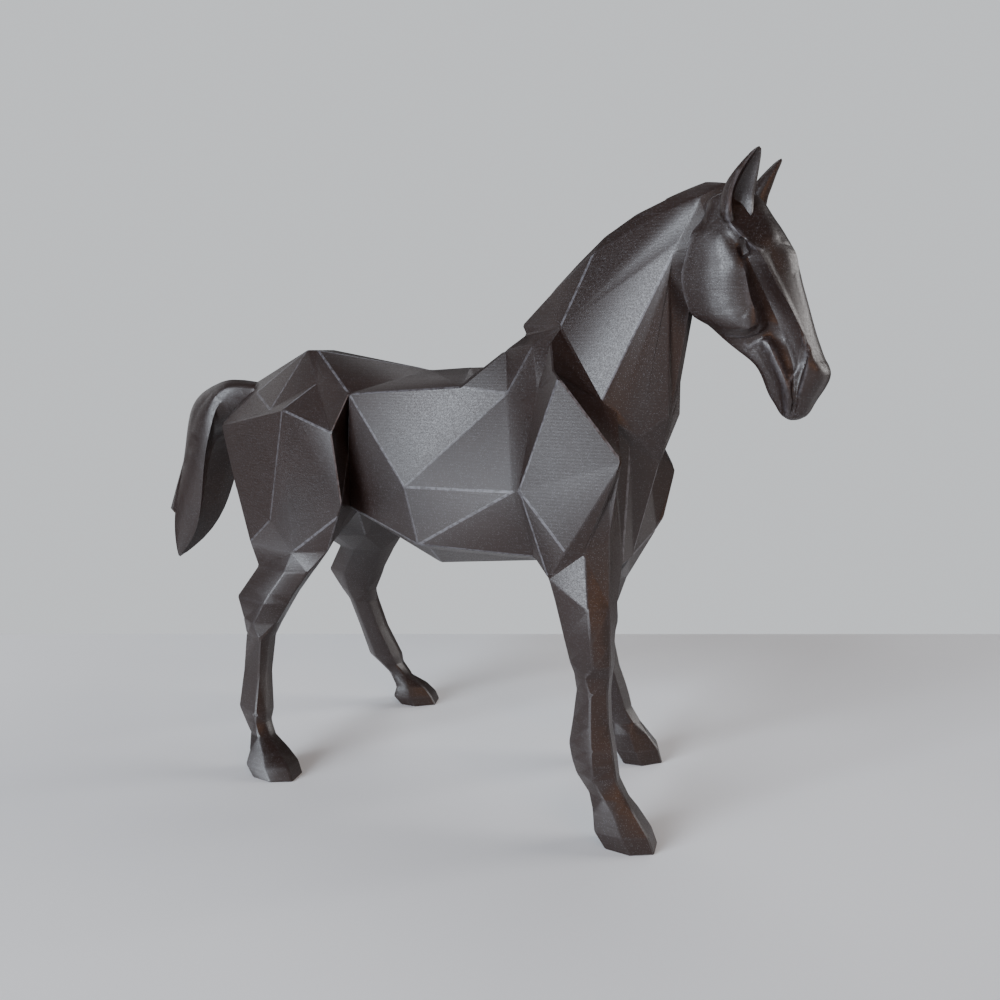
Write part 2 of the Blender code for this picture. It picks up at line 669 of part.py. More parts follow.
def main():
    """Build the horse as one closed body that stands on its four hooves."""
    for old in list(bpy.data.objects):
        bpy.data.objects.remove(old)
    landmarks = flattened({**NECK, **BARREL, **SHOULDER, **HAUNCH})
    body = body_with_legs(landmarks)
    parts = [head(), ear("near_ear", -1), ear("far_ear", 1), tail(), tail_lock()]
    horse = joined("horse_figure", body, parts)
    centre_on_origin(horse)
    horse.data.materials.append(finish())


main()
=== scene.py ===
"""The looks of a geometric horse figure, printed in one piece from dark brown plastic."""

import logging
import math
from dataclasses import dataclass, field
from enum import Enum

import bmesh
import bpy
import numpy as np
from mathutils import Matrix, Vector


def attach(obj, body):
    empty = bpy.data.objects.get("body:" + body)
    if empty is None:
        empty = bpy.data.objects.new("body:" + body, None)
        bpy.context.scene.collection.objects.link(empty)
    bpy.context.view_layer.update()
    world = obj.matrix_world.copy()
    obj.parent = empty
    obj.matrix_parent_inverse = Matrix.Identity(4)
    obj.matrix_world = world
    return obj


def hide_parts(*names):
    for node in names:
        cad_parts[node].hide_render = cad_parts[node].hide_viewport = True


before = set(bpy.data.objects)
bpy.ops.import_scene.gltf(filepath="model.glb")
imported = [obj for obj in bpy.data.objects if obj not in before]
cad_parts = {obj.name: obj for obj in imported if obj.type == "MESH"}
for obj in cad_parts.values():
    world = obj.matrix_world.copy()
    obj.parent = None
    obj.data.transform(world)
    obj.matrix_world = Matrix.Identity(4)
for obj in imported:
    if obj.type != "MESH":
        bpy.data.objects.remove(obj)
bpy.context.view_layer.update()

log = logging.getLogger("horse")

WITHERS = 0.180
GROUND_SHIFT = (0.03410, -0.01625, 0.0)
NODE = "horse_figure"
# The corner attribute with how much painted highlight each rim takes.
RIM = "rim"

# Wider than any real angle: stands for the bend of an edge with no pair of faces.
NO_BEND = 9.0

# A skew direction, so that hardly any two places are equally far along it.
ORDER = (1.0, 0.618, 0.287)

# Nearly all the values of a noise texture lie between these two.
NOISE_LOW = 0.3
NOISE_HIGH = 0.7

# The Mix node has one pair of sockets for each kind of value. These are the colours'.
MIX_FIRST = 6
MIX_SECOND = 7
MIX_RESULT = 2

# How many slow clouds of tone and slow drifts of the layers fit in a metre.
CLOUD_SCALE = 22.0
DRIFT_SCALE = 30.0

# A painted glint is full bright up to the first share of its cell's size and gone by the second.
GLINT_CORE = 0.10
GLINT_EDGE = 0.55

# Where the painted highlight along a rim fades in, and how much of it is left in its faintest
# patches.
PATCH_LOW = 0.30
PATCH_HIGH = 0.62
PATCH_FAINT = 0.25


class Region(Enum):
    """The kinds of surface on the print."""

    FACETS = 0
    SMOOTH = 1


class Side(Enum):
    """The two sides of the horse, by the sign that its breadth takes."""

    NEAR = -1
    FAR = 1


def place(forward: float, out: float, up: float, side: Side = Side.NEAR) -> Vector:
    """Gives a place on the horse, from its shares of the height to the withers.

    Args:
        forward: How far forward of the shoulder line, towards the nose.
        out: How far out from the middle of the body.
        up: How far above the ground.
        side: The side of the horse that the place is on.

    Returns:
        The place in metres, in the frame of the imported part.
    """
    shares = Vector((forward, side.value * out, up)) + Vector(GROUND_SHIFT)
    return shares * WITHERS


def group_with_sockets(
    name: str, inputs: dict[str, float], outputs: dict[str, str]
) -> tuple[bpy.types.NodeTree, bpy.types.Node, bpy.types.Node]:
    """Starts a shader node group with named sockets.

    Args:
        name: The name of the group.
        inputs: The number inputs and their first values.
        outputs: The outputs and their socket types.

    Returns:
        The group, its input node and its output node.
    """
    group = bpy.data.node_groups.new(name, "ShaderNodeTree")
    for label, value in inputs.items():
        socket = group.interface.new_socket(label, in_out="INPUT", socket_type="NodeSocketFloat")
        socket.default_value = value
    for label, kind in outputs.items():
        group.interface.new_socket(label, in_out="OUTPUT", socket_type=kind)
    return group, group.nodes.new("NodeGroupInput"), group.nodes.new("NodeGroupOutput")


def is_smooth(face: bmesh.types.BMFace) -> bool:
    """Tells whether a sorted face is part of the smooth head, ears and tail."""
    return face.material_index == Region.SMOOTH.value


@dataclass(frozen=True)
class NodeBench:
    """Makes and joins the nodes of one tree."""

    tree: bpy.types.NodeTree

    def add(self, kind: str, **settings: object) -> bpy.types.Node:
        """Adds a node.

        Args:
            kind: The short name of the node's class, after ShaderNode.
            settings: Properties of the node, such as its operation.

        Returns:
            The new node.
        """
        node = self.tree.nodes.new("ShaderNode" + kind)
        for key, value in settings.items():
            setattr(node, key, value)
        return node

    def feed(self, source: object, target: bpy.types.NodeSocket) -> None:
        """Sets a socket from another socket, or from a plain value.

        Args:
            source: The socket that feeds it, or the value.
            target: The socket that takes it.
        """
        if isinstance(source, bpy.types.NodeSocket):
            self.tree.links.new(source, target)
        else:
            target.default_value = source

    def reckon(self, operation: str, *values: object) -> bpy.types.NodeSocket:
        """Adds a math node.

        Args:
            operation: The name of the operation.
            values: The numbers or sockets that it takes.

        Returns:
            The socket with the result.
        """
        node = self.add("Math", operation=operation)
        for value, target in zip(values, node.inputs):
            self.feed(value, target)
        return node.outputs[0]

    def between(
        self, value: object, low: float, high: float, to_low: object, to_high: object
    ) -> bpy.types.NodeSocket:
        """Adds a smooth change of range.

        Args:
            value: The number that is read.
            low: The number where the change starts.
            high: The number where the change ends.
            to_low: The result at the start.
            to_high: The result at the end.

        Returns:
            The socket with the result.
        """
        node = self.add("MapRange", interpolation_type="SMOOTHSTEP")
        for given, target in zip((value, low, high, to_low, to_high), node.inputs):
            self.feed(given, target)
        return node.outputs[0]

    def noise(self, place_socket: object, scale: object, detail: float) -> bpy.types.NodeSocket:
        """Adds a noise texture.

        Args:
            place_socket: The place in space that is read.
            scale: The number of swings in a metre.
            detail: The number of finer octaves.

        Returns:
            The socket with the noise value.
        """
        node = self.add("TexNoise")
        self.feed(place_socket, node.inputs["Vector"])
        self.feed(scale, node.inputs["Scale"])
        node.inputs["Detail"].default_value = detail
        return node.outputs["Fac"]


def build_grain_group() -> bpy.types.NodeTree:
    """Builds the fine grain of the filament and its painted glints, light flecks standing in for
    glints of light.

    Returns:
        The group, with three outputs: the height of the grain, the painted glints and the slow
            clouds of tone.
    """
    group, start, end = group_with_sockets(
        "filament_grain",
        {"Grain Scale": 1900.0, "Sparkle Scale": 3200.0, "Sparkle Share": 0.06},
        {"Height": "NodeSocketFloat", "Painted Glint": "NodeSocketFloat", "Cloud": "NodeSocketFloat"},
    )
    bench = NodeBench(group)
    spot = bench.add("TexCoord").outputs["Object"]
    fine = bench.noise(spot, start.outputs["Grain Scale"], 3.0)
    glint_cells = bench.add("TexVoronoi", feature="F1")
    bench.feed(spot, glint_cells.inputs["Vector"])
    bench.feed(start.outputs["Sparkle Scale"], glint_cells.inputs["Scale"])
    chance = bench.add("SeparateColor")
    bench.feed(glint_cells.outputs["Color"], chance.inputs[0])
    # A few cells of a fine Voronoi pattern become light flecks: painted glints, standing in for
    # glints of light on the grain.
    lucky = bench.reckon("LESS_THAN", chance.outputs[0], start.outputs["Sparkle Share"])
    spark = bench.between(glint_cells.outputs["Distance"], GLINT_CORE, GLINT_EDGE, 1.0, 0.0)
    bench.feed(bench.reckon("MULTIPLY", lucky, spark), end.inputs["Painted Glint"])
    bench.feed(fine, end.inputs["Height"])
    bench.feed(bench.noise(spot, CLOUD_SCALE, 3.0), end.inputs["Cloud"])
    return group


def build_layer_group() -> bpy.types.NodeTree:
    """Builds the layer lines of the print and the slow banding on top of them.

    Returns:
        The group, with the outputs Height and Band.
    """
    group, start, end = group_with_sockets(
        "layer_lines",
        {"Layer": 0.0002, "Band": 0.0012, "Waver": 0.00035},
        {"Height": "NodeSocketFloat", "Band": "NodeSocketFloat"},
    )
    bench = NodeBench(group)
    spot = bench.add("TexCoord").outputs["Object"]
    split = bench.add("SeparateXYZ")
    bench.feed(spot, split.inputs[0])
    drift = bench.reckon("SUBTRACT", bench.noise(spot, DRIFT_SCALE, 2.0), 0.5)
    waver = bench.reckon("MULTIPLY", drift, start.outputs["Waver"])
    level = bench.reckon("ADD", split.outputs["Z"], waver)
    for pitch, target in (("Layer", "Height"), ("Band", "Band")):
        turns = bench.reckon("DIVIDE", level, start.outputs[pitch])
        wave = bench.reckon("SINE", bench.reckon("MULTIPLY", turns, math.tau))
        bench.feed(bench.reckon("MULTIPLY_ADD", wave, 0.5, 0.5), end.inputs[target])
    return group


def build_painted_highlight_group() -> bpy.types.NodeTree:
    """Builds the painted highlight along the rims of the ridges: a lighter colour standing in
    for light caught on their rounded edges.

    Returns:
        The group, with one output: how much painted highlight each spot takes.
    """
    group, start, end = group_with_sockets(
        "painted_rim_highlights",
        {"Strength": 1.0, "Patch Scale": 600.0},
        {"Painted Highlight": "NodeSocketFloat"},
    )
    bench = NodeBench(group)
    # The painted highlight follows the rim marks and is fainter in noisy patches.
    rim = bench.add("Attribute", attribute_name=RIM).outputs["Fac"]
    spot = bench.add("TexCoord").outputs["Object"]
    patches = bench.noise(spot, start.outputs["Patch Scale"], 2.0)
    broken = bench.between(patches, PATCH_LOW, PATCH_HIGH, PATCH_FAINT, 1.0)
    patchy = bench.reckon("MULTIPLY", rim, broken)
    painted_highlight = bench.reckon("MULTIPLY", patchy, start.outputs["Strength"])
    bench.feed(painted_highlight, end.inputs["Painted Highlight"])
    return group


@dataclass(frozen=True)
class PrintFinish:
    """The satin of one kind of surface on the print."""

    name: str
    base: tuple[float, float, float] = (0.0115, 0.0052, 0.0038)
    lighter: tuple[float, float, float] = (0.0180, 0.0086, 0.0064)
    band_colour: tuple[float, float, float] = (0.036, 0.032, 0.034)
    # Painted highlight: a light cool grey along the rims, for window light caught on their
    # rounded edges.
    painted_highlight_colour: tuple[float, float, float] = (0.092, 0.088, 0.097)
    # Painted glints: light cool grey flecks, for glints of light on the grain.
    painted_glint_colour: tuple[float, float, float] = (0.085, 0.082, 0.090)
    roughness: float = 0.41
    rough_swing: float = 0.08
    grain_depth: float = 0.000022
    layer_depth: float = 0.000002
    band_depth: float = 0.000007
    band_share: float = 0.10
    painted_highlight_strength: float = 1.0
    painted_glint_share: float = 0.18

    def mixed(
        self, bench: NodeBench, share: object, first: object, second: object
    ) -> bpy.types.NodeSocket:
        """Mixes two colours.

        Args:
            bench: The bench of the material's tree.
            share: The socket or number with the share of the second colour.
            first: The first colour, or its socket.
            second: The second colour, or its socket.

        Returns:
            The socket with the mixed colour.
        """
        node = bench.add("Mix", data_type="RGBA")
        colours = [value if isinstance(value, bpy.types.NodeSocket) else (*value, 1.0)
                   for value in (first, second)]
        bench.feed(share, node.inputs["Factor"])
        bench.feed(colours[0], node.inputs[MIX_FIRST])
        bench.feed(colours[1], node.inputs[MIX_SECOND])
        return node.outputs[MIX_RESULT]

    def material(self, groups: dict[str, bpy.types.NodeTree]) -> bpy.types.Material:
        """Makes the material of this finish.

        Args:
            groups: The shared effects, by name.

        Returns:
            The new material.
        """
        made = bpy.data.materials.new(self.name)
        made.use_nodes = True
        bench = NodeBench(made.node_tree)
        shader = made.node_tree.nodes["Principled BSDF"]
        effect = {}
        for name, group in groups.items():
            effect[name] = bench.add("Group", node_tree=group)
        effect["grain"].inputs["Sparkle Share"].default_value = self.painted_glint_share
        effect["rim"].inputs["Strength"].default_value = self.painted_highlight_strength
        cloud = bench.between(effect["grain"].outputs["Cloud"], NOISE_LOW, NOISE_HIGH, 0.0, 1.0)
        colour = self.mixed(bench, cloud, self.base, self.lighter)
        band = bench.reckon("MULTIPLY", effect["layers"].outputs["Band"], self.band_share)
        colour = self.mixed(bench, band, colour, self.band_colour)
        # Mixes in the painted glints, then the painted highlight along the rims.
        colour = self.mixed(bench, effect["grain"].outputs["Painted Glint"], colour, self.painted_glint_colour)
        colour = self.mixed(bench, effect["rim"].outputs["Painted Highlight"], colour, self.painted_highlight_colour)
        bench.feed(colour, shader.inputs["Base Color"])
        low, high = self.roughness - self.rough_swing, self.roughness + self.rough_swing
        rough = bench.between(
            effect["grain"].outputs["Height"], NOISE_LOW, NOISE_HIGH, low, high
        )
        bench.feed(rough, shader.inputs["Roughness"])
        normal = None
        for effect_name, output, depth in (
            ("layers", "Band", self.band_depth),
            ("layers", "Height", self.layer_depth),
            ("grain", "Height", self.grain_depth),
        ):
            bump = bench.add("Bump")
            bump.inputs["Strength"].default_value = 1.0
            bump.inputs["Distance"].default_value = depth
            bench.feed(effect[effect_name].outputs[output], bump.inputs["Height"])
            if normal is not None:
                bench.feed(normal, bump.inputs["Normal"])
            normal = bump.outputs["Normal"]
        bench.feed(normal, shader.inputs["Normal"])
        return made


@dataclass(frozen=True)
class Stroke:
    """A groove or a ridge carved along a line of the head, the same on both sides."""

    name: str
    places: tuple[tuple[float, float, float], ...]
    width: float
    lift: float
    # How much painted highlight is laid along the line.
    rim: float = 0.0

    def distances(self, spots: np.ndarray, side: Side) -> np.ndarray:
        """Measures how far each spot is from the line.

        Args:
            spots: The spots, one a row.
            side: The side of the head that the line is on.

        Returns:
            The distances in metres.
        """
        line = [np.array(place(*share, side=side)) for share in self.places]
        nearest = np.full(len(spots), np.inf)
        for first, last in zip(line, line[1:]):
            along = last - first
            share = np.clip(((spots - first) @ along) / (along @ along), 0.0, 1.0)
            gap = spots - (first + share[:, None] * along)
            nearest = np.minimum(nearest, np.sqrt((gap * gap).sum(1)))
        return nearest

    def weight(self, spots: np.ndarray) -> np.ndarray:
        """Gives how strongly the stroke works at each spot.

        Args:
            spots: The spots, one a row.

        Returns:
            The weights, from 0 away from the line to 1 on it.
        """
        total = np.zeros(len(spots))
        for side in Side:
            share = np.clip(self.distances(spots, side) / (self.width * WITHERS), 0.0, 1.0)
            total = np.maximum(total, 0.5 + 0.5 * np.cos(math.pi * share))
        return total


@dataclass
class FineMesh:
    """The spots and faces of a surface whose triangles are split finely."""

    steps: int
    sums: list[Vector] = field(default_factory=list)
    counts: list[int] = field(default_factory=list)
    runs: dict[tuple[int, int], list[int]] = field(default_factory=dict)
    faces: list[tuple[int, ...]] = field(default_factory=list)

    def add(self, spot: Vector, count: int = 1) -> int:
        """Adds a spot.

        Args:
            spot: Where it is, or the start of its sum.
            count: How many places the sum holds so far.

        Returns:
            The index of the spot.
        """
        self.sums.append(spot)
        self.counts.append(count)
        return len(self.sums) - 1

    def run(self, first: int, last: int) -> list[int]:
        """Gives the spots that split an edge, and makes them the first time.

        Args:
            first: The index of the corner where the run starts.
            last: The index of the corner where it ends.

        Returns:
            The indices of the spots, in order.
        """
        key = (min(first, last), max(first, last))
        if key not in self.runs:
            self.runs[key] = [self.add(Vector(), 0) for _ in range(self.steps - 1)]
        return self.runs[key] if first == key[0] else self.runs[key][::-1]

    def outline(self, loop: list[int]) -> tuple[int, ...]:
        """Takes the spots of its split edges into a face that stays whole.

        Args:
            loop: The indices of the face's corners, in order.

        Returns:
            The indices of its corners and of the spots between them.
        """
        found = []
        for first, last in zip(loop, loop[1:] + loop[:1]):
            found.append(first)
            if (min(first, last), max(first, last)) in self.runs:
                found += self.run(first, last)
        return tuple(found)

    def spots(self) -> list[Vector]:
        """Gives each spot as the mean of the places summed up in it."""
        return [total / max(count, 1) for total, count in zip(self.sums, self.counts)]


@dataclass
class HorsePrint:
    """The whole figure: crisp facets with a painted highlight along their rims, and a smooth
    carved head and tail.
    """

    weld: float = 0.000002
    flat_angle: float = math.radians(0.5)
    facet_area: float = 0.000060
    head_box: tuple[tuple[float, float, float], tuple[float, float, float]] = (
        (0.52, -0.20, 0.80),
        (0.90, 0.20, 1.40),
    )
    tail_box: tuple[tuple[float, float, float], tuple[float, float, float]] = (
        (-1.00, -0.12, 0.36),
        (-0.50, 0.12, 0.92),
    )
    rim_width: float = 0.00052
    # How much painted highlight the flats of faint, middle and strong rims take.
    highlight_levels: tuple[float, float, float] = (0.08, 0.60, 1.0)
    narrow_facet: float = 0.00012
    wide_facet: float = 0.00060
    shallow_hollow: float = math.radians(17.0)
    sharp_ridge: float = math.radians(14.0)
    ridge_angle: float = math.radians(2.5)
    shortest_ridge: float = 0.0012
    crease_angle: float = math.radians(32.0)
    sharp_angle: float = math.radians(26.0)
    steps: int = 6
    roundness: float = 0.75
    strokes: tuple[Stroke, ...] = ()

    def welded(self) -> bmesh.types.BMesh:
        """Takes over the surface of the solid.

        Returns:
            The surface as one closed mesh.
        """
        shape = bmesh.new()
        shape.from_mesh(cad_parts[NODE].data)
        bmesh.ops.remove_doubles(shape, verts=shape.verts[:], dist=self.weld)
        shape.normal_update()
        return shape

    def inside(self, spot: Vector, box: tuple) -> bool:
        """Tells whether a spot is in a box.

        Args:
            spot: The spot, in metres.
            box: The low and the high corner of the box, in shares of the height.

        Returns:
            Whether the spot is inside.
        """
        low, high = (place(box[end][0], -box[end][1], box[end][2]) for end in (0, 1))
        return all(low[axis] <= spot[axis] <= high[axis] for axis in range(3))

    def flat_patches(self, shape: bmesh.types.BMesh) -> list[list[bmesh.types.BMFace]]:
        """Gathers the faces that lie flat together.

        Args:
            shape: The closed mesh.

        Returns:
            The patches, each a list of faces.
        """
        patches = []
        seen = set()
        for face in shape.faces:
            if face in seen:
                continue
            seen.add(face)
            patch = [face]
            waiting = [face]
            while waiting:
                current = waiting.pop()
                for edge in current.edges:
                    for other in edge.link_faces:
                        if other in seen:
                            continue
                        if other.normal.angle(face.normal, NO_BEND) < self.flat_angle:
                            seen.add(other)
                            patch.append(other)
                            waiting.append(other)
            patches.append(patch)
        return patches

    def sort_faces(self, shape: bmesh.types.BMesh) -> None:
        """Marks each face as part of the facets or of the smooth head, ears and tail.

        Args:
            shape: The closed mesh; a face's material index takes the mark.
        """
        for patch in self.flat_patches(shape):
            area = sum(face.calc_area() for face in patch)
            for face in patch:
                spot = face.calc_center_median()
                small = area < self.facet_area
                soft = self.inside(spot, self.head_box) or self.inside(spot, self.tail_box)
                face.material_index = (Region.SMOOTH if small and soft else Region.FACETS).value

    def bevel_ridges(self, shape: bmesh.types.BMesh) -> None:
        """Breaks the ridges between the facets with a narrow flat.

        Args:
            shape: The sorted mesh; the face layer named after the rim takes the marks, which say
                how much painted highlight each new flat gets.
        """
        rim = shape.faces.layers.float.new(RIM)
        inner = [edge for edge in shape.edges if not any(map(is_smooth, edge.link_faces))]
        bmesh.ops.dissolve_limit(
            shape,
            angle_limit=self.flat_angle,
            edges=inner,
            verts=[],
            use_dissolve_boundaries=False,
        )
        edges = []
        levels = []
        for edge in shape.edges:
            if len(edge.link_faces) != 2 or edge.calc_length() < self.shortest_ridge:
                continue
            if any(map(is_smooth, edge.link_faces)):
                continue
            bend = edge.calc_face_angle(0.0)
            if bend > self.ridge_angle:
                edges.append(edge)
                levels.append(self.highlight_level(edge, bend))
        starts = np.array([edge.verts[0].co for edge in edges])
        spans = np.array([edge.verts[1].co for edge in edges]) - starts
        made = bmesh.ops.bevel(
            shape,
            geom=edges,
            offset=self.rim_width,
            offset_type="OFFSET",
            segments=1,
            profile=0.5,
            affect="EDGES",
            clamp_overlap=False,
            material=Region.FACETS.value,
        )
        for face in made["faces"]:
            reach = np.array(face.calc_center_median()) - starts
            share = np.clip((reach * spans).sum(1) / (spans * spans).sum(1), 0.0, 1.0)
            gaps = np.linalg.norm(reach - share[:, None] * spans, axis=1)
            # Each new flat takes the painted highlight level of the ridge nearest to it.
            face[rim] = levels[int(np.argmin(gaps))]
        log.info("ridges and hollows: %d", len(levels))

    def highlight_level(self, edge: bmesh.types.BMEdge, bend: float) -> float:
        """Says how much painted highlight an edge's flat takes: the sharp ridges of the wide
        facets the most.

        Args:
            edge: The edge.
            bend: The angle between its two faces.

        Returns:
            One of the levels of painted highlight.
        """
        spread = min(face.calc_area() for face in edge.link_faces)
        if not edge.is_convex:
            shallow = bend < self.shallow_hollow and spread > self.wide_facet
            return self.highlight_levels[1] if shallow else 0.0
        if spread < self.narrow_facet:
            return self.highlight_levels[0]
        return self.highlight_levels[1 if bend < self.sharp_ridge else 2]

    def corner_normals(self, shape: bmesh.types.BMesh) -> dict[tuple[int, int], Vector]:
        """Finds the smooth normal of every corner of the smooth faces, split at the creases.

        Args:
            shape: The mesh, with its smooth faces made of triangles.

        Returns:
            The normals, by the index of the face and of the corner's vertex.
        """
        normals = {}
        for vert in shape.verts:
            left = list(filter(is_smooth, vert.link_faces))
            while left:
                first = left.pop()
                cluster = [first]
                waiting = [first]
                while waiting:
                    face = waiting.pop()
                    for edge in face.edges:
                        creased = edge.calc_face_angle(NO_BEND) > self.crease_angle
                        if vert not in edge.verts or creased:
                            continue
                        for other in edge.link_faces:
                            if other in left:
                                left.remove(other)
                                cluster.append(other)
                                waiting.append(other)
                total = Vector()
                for face in cluster:
                    total += face.normal * face.calc_area()
                for face in cluster:
                    normals[(face.index, vert.index)] = total.normalized()
        return normals

    def split_spot(
        self, corners: list[Vector], slopes: list[Vector], parts: tuple[int, int, int]
    ) -> tuple[Vector, Vector]:
        """Works out one of the new spots of a split triangle.

        Args:
            corners: The corners of the triangle.
            slopes: The smooth normals at the corners.
            parts: How many steps out of all the spot takes from each corner.

        Returns:
            The spot on the flat triangle, and the same spot rounded out to the normals.
        """
        shares = [part / self.steps for part in parts]
        flat = sum((corner * share for corner, share in zip(corners, shares)), Vector())
        drawn = Vector()
        for corner, slope, share in zip(corners, slopes, shares):
            drawn += share * (flat - (flat - corner).dot(slope) * slope)
        return flat, flat.lerp(drawn, self.roundness)

    def split_triangle(
        self,
        fine: FineMesh,
        face: bmesh.types.BMFace,
        normals: dict[tuple[int, int], Vector],
    ) -> None:
        """Splits one smooth triangle. Its sides stay straight where they meet a facet.

        Args:
            fine: The mesh that takes the new spots and faces.
            face: The triangle.
            normals: The smooth normals, by the index of the face and of the corner's vertex.
        """
        corners = [vert.co for vert in face.verts]
        ids = [vert.index for vert in face.verts]
        slopes = [normals[(face.index, index)] for index in ids]
        runs = {(a, b): fine.run(ids[a], ids[b]) for a, b in ((0, 1), (1, 2), (0, 2))}
        straight = {}
        for edge in face.edges:
            pair = tuple(sorted(ids.index(vert.index) for vert in edge.verts))
            straight[pair] = not all(map(is_smooth, edge.link_faces))
        grid = {}
        for second in range(self.steps + 1):
            for third in range(self.steps + 1 - second):
                parts = (self.steps - second - third, second, third)
                if self.steps in parts:
                    grid[(second, third)] = ids[parts.index(self.steps)]
                    continue
                flat, rounded = self.split_spot(corners, slopes, parts)
                if 0 not in parts:
                    grid[(second, third)] = fine.add(rounded)
                    continue
                pair = tuple(corner for corner in range(3) if parts[corner])
                index = runs[pair][parts[pair[1]] - 1]
                fine.sums[index] += flat if straight[pair] else rounded
                fine.counts[index] += 1
                grid[(second, third)] = index
        for second in range(self.steps):
            for third in range(self.steps - second):
                ahead, beside = grid[(second + 1, third)], grid[(second, third + 1)]
                fine.faces.append((grid[(second, third)], ahead, beside))
                if second + third < self.steps - 1:
                    fine.faces.append((ahead, grid[(second + 1, third + 1)], beside))

    def refined(
        self, shape: bmesh.types.BMesh
    ) -> tuple[list[Vector], list[tuple[int, ...]], list[int], list[float]]:
        """Splits every smooth triangle finely and rounds it out to its corners' normals.

        Args:
            shape: The mesh with its smooth faces made of triangles.

        Returns:
            The spots, the faces, the region of each face and the rim mark of each face.
        """
        # Without this the order of the faces changes from run to run.
        shape.verts.sort(key=lambda vert: vert.co.dot(Vector(ORDER)))
        shape.faces.sort(key=lambda face: face.calc_center_median().dot(Vector(ORDER)))
        shape.verts.index_update()
        shape.faces.index_update()
        rim = shape.faces.layers.float[RIM]
        normals = self.corner_normals(shape)
        fine = FineMesh(self.steps)
        for vert in shape.verts:
            fine.add(vert.co.copy())
        for face in filter(is_smooth, shape.faces):
            self.split_triangle(fine, face, normals)
        regions = [Region.SMOOTH.value] * len(fine.faces)
        marks = [0.0] * len(fine.faces)
        for face in shape.faces:
            if not is_smooth(face):
                fine.faces.append(fine.outline([vert.index for vert in face.verts]))
                regions.append(Region.FACETS.value)
                marks.append(face[rim])
        return fine.spots(), fine.faces, regions, marks

    def carve(self, mesh: bpy.types.Mesh, soft: np.ndarray) -> np.ndarray:
        """Moves the smooth spots along the strokes.

        Args:
            mesh: The refined mesh.
            soft: Whether each vertex belongs to the smooth part alone.

        Returns:
            The rim mark of each vertex: how much painted highlight it takes from the strokes.
        """
        count = len(mesh.vertices)
        spots = np.empty(count * 3)
        mesh.vertices.foreach_get("co", spots)
        spots = spots.reshape(-1, 3)
        normals = np.empty(count * 3)
        mesh.vertex_normals.foreach_get("vector", normals)
        normals = normals.reshape(-1, 3)
        rims = np.zeros(count)
        moved = spots.copy()
        for stroke in self.strokes:
            weight = stroke.weight(spots) * soft
            moved += normals * (weight * stroke.lift * WITHERS)[:, None]
            rims = np.maximum(rims, weight * stroke.rim)
        mesh.vertices.foreach_set("co", moved.ravel())
        mesh.update()
        return rims

    def mark_rims(
        self, mesh: bpy.types.Mesh, regions: list[int], marks: list[float], rims: np.ndarray
    ) -> None:
        """Writes how much painted highlight each corner takes, for the finishes to read.

        Args:
            mesh: The finished mesh.
            regions: The region of each face.
            marks: The rim mark of each face, which the facets take.
            rims: The rim mark of each vertex, which the smooth faces take.
        """
        corners = np.zeros(len(mesh.loops))
        for polygon, region, mark in zip(mesh.polygons, regions, marks):
            flat = region == Region.FACETS.value
            corners[list(polygon.loop_indices)] = mark if flat else rims[list(polygon.vertices)]
        mesh.attributes.new(RIM, "FLOAT", "CORNER").data.foreach_set("value", corners)

    def build(self, finishes: dict[Region, bpy.types.Material]) -> bpy.types.Object:
        """Builds the figure and dresses it.

        Args:
            finishes: The material of each region.

        Returns:
            The finished piece.
        """
        shape = self.welded()
        self.sort_faces(shape)
        self.bevel_ridges(shape)
        bmesh.ops.triangulate(shape, faces=list(filter(is_smooth, shape.faces)))
        shape.normal_update()
        spots, faces, regions, marks = self.refined(shape)
        shape.free()
        mesh = bpy.data.meshes.new("horse_print")
        mesh.from_pydata(spots, [], faces)
        mesh.update()
        mesh.polygons.foreach_set("material_index", regions)
        rounded = [region == Region.SMOOTH.value for region in regions]
        mesh.polygons.foreach_set("use_smooth", rounded)
        soft = np.ones(len(mesh.vertices))
        for polygon, region in zip(mesh.polygons, regions):
            if region == Region.FACETS.value:
                soft[list(polygon.vertices)] = 0.0
        self.mark_rims(mesh, regions, marks, self.carve(mesh, soft))
        mesh.set_sharp_from_angle(angle=self.sharp_angle)
        for region in Region:
            mesh.materials.append(finishes[region])
        made = bpy.data.objects.new("horse_print", mesh)
        bpy.context.scene.collection.objects.link(made)
        return made


@dataclass(frozen=True)
class StudioLight:
    """One soft light, placed by its direction from the middle of the horse."""

    name: str
    direction: tuple[float, float, float]
    distance: float
    size: float
    power: float
    colour: tuple[float, float, float]

    def build(self, aim: Vector) -> None:
        """Hangs the light and turns it to the aim.

        Args:
            aim: The place that the light looks at.
        """
        lamp = bpy.data.lights.new(self.name, "AREA")
        lamp.shape = "SQUARE"
        lamp.size = self.size
        lamp.energy = self.power
        lamp.color = self.colour
        made = bpy.data.objects.new(self.name, lamp)
        made.location = aim + Vector(self.direction).normalized() * self.distance
        made.rotation_euler = (aim - made.location).to_track_quat("-Z", "Y").to_euler()
        bpy.context.scene.collection.objects.link(made)


